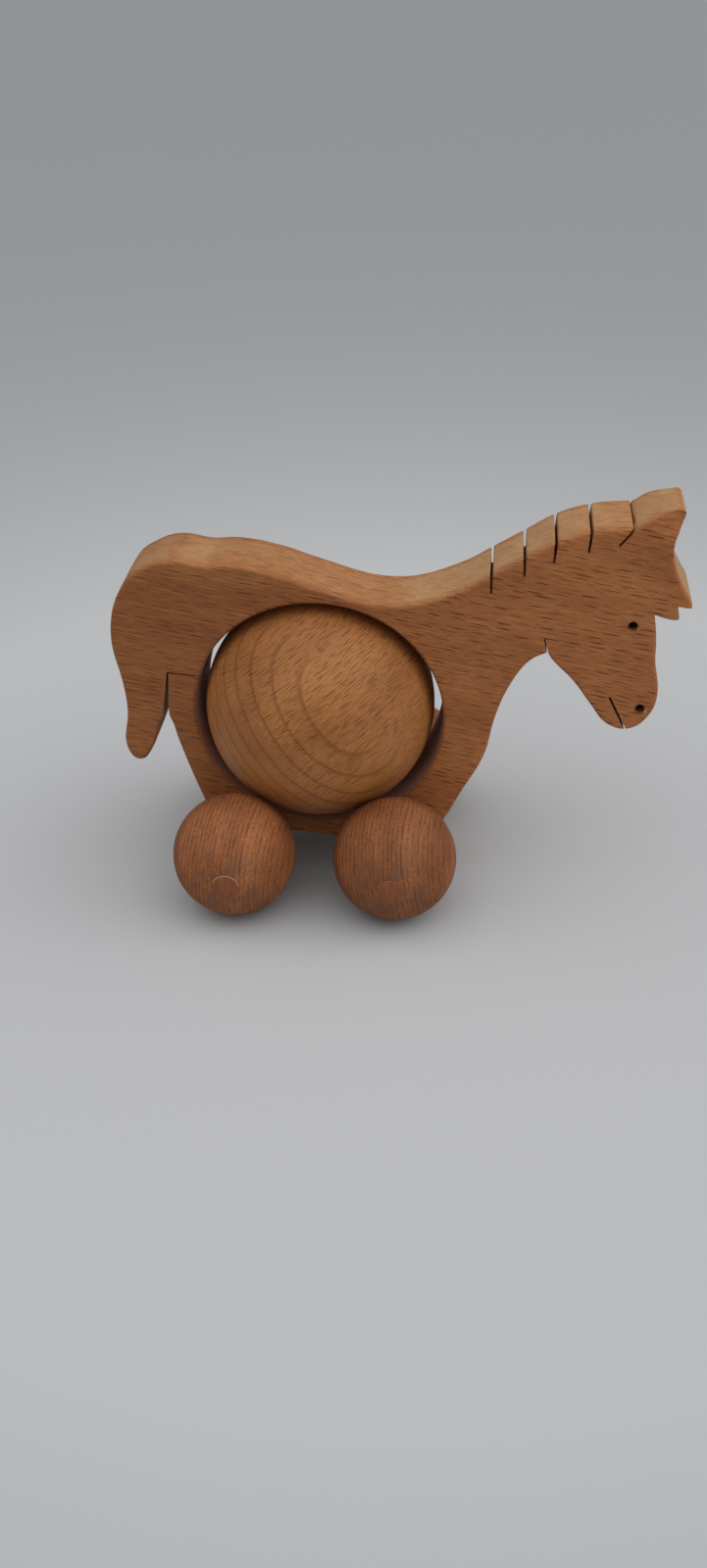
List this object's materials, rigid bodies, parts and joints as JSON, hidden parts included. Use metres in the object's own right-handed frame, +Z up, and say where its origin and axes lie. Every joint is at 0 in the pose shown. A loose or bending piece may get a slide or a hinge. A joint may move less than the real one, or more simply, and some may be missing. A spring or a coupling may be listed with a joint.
{
  "type": "wheeled horse toy",
  "caption": "Push-along wooden horse sawn from a board, with a loose ball in its belly hole that rides on ball wheels and turns against them as the toy rolls.",
  "frame": {"origin": "on the floor under the middle of the toy's length and width", "axes": "+X towards the head, +Y towards the horse's left side, +Z up"},
  "size_m": [0.1574, 0.0916, 0.1135],
  "materials": {
    "beech_board": "oiled beech, sanded, with short dark flecks",
    "beech_ball": "oiled beech, turned, satin",
    "beech_wheel": "oiled beech, turned, dull",
    "beech_dowel": "oiled beech dowel, ends sanded flush"
  },
  "bodies": {
    "horse": {"body": "beech_board"},
    "ball": {"belly_ball": "beech_ball"},
    "front_wheel_set": {"front_axle": "beech_dowel", "front_right_wheel": "beech_wheel", "front_left_wheel": "beech_wheel"},
    "rear_wheel_set": {"rear_axle": "beech_dowel", "rear_right_wheel": "beech_wheel", "rear_left_wheel": "beech_wheel"}
  },
  "joints": [
    {"name": "ball_spin", "type": "hinge", "parent": "horse", "child": "ball", "pos_m": [-0.02226, 0, 0.05156], "axis": [0, 1, 0], "continuous": true},
    {"name": "front_axle_spin", "type": "hinge", "parent": "horse", "child": "front_wheel_set", "pos_m": [0.0004, 0, 0.01725], "axis": [0, 1, 0], "continuous": true},
    {"name": "rear_axle_spin", "type": "hinge", "parent": "horse", "child": "rear_wheel_set", "pos_m": [-0.04491, 0, 0.01725], "axis": [0, 1, 0], "continuous": true}
  ],
  "couplings": [
    {"joint": "front_axle_spin", "follows": "ball_spin", "ratio": -1.8841},
    {"joint": "rear_axle_spin", "follows": "ball_spin", "ratio": -1.8841}
  ]
}
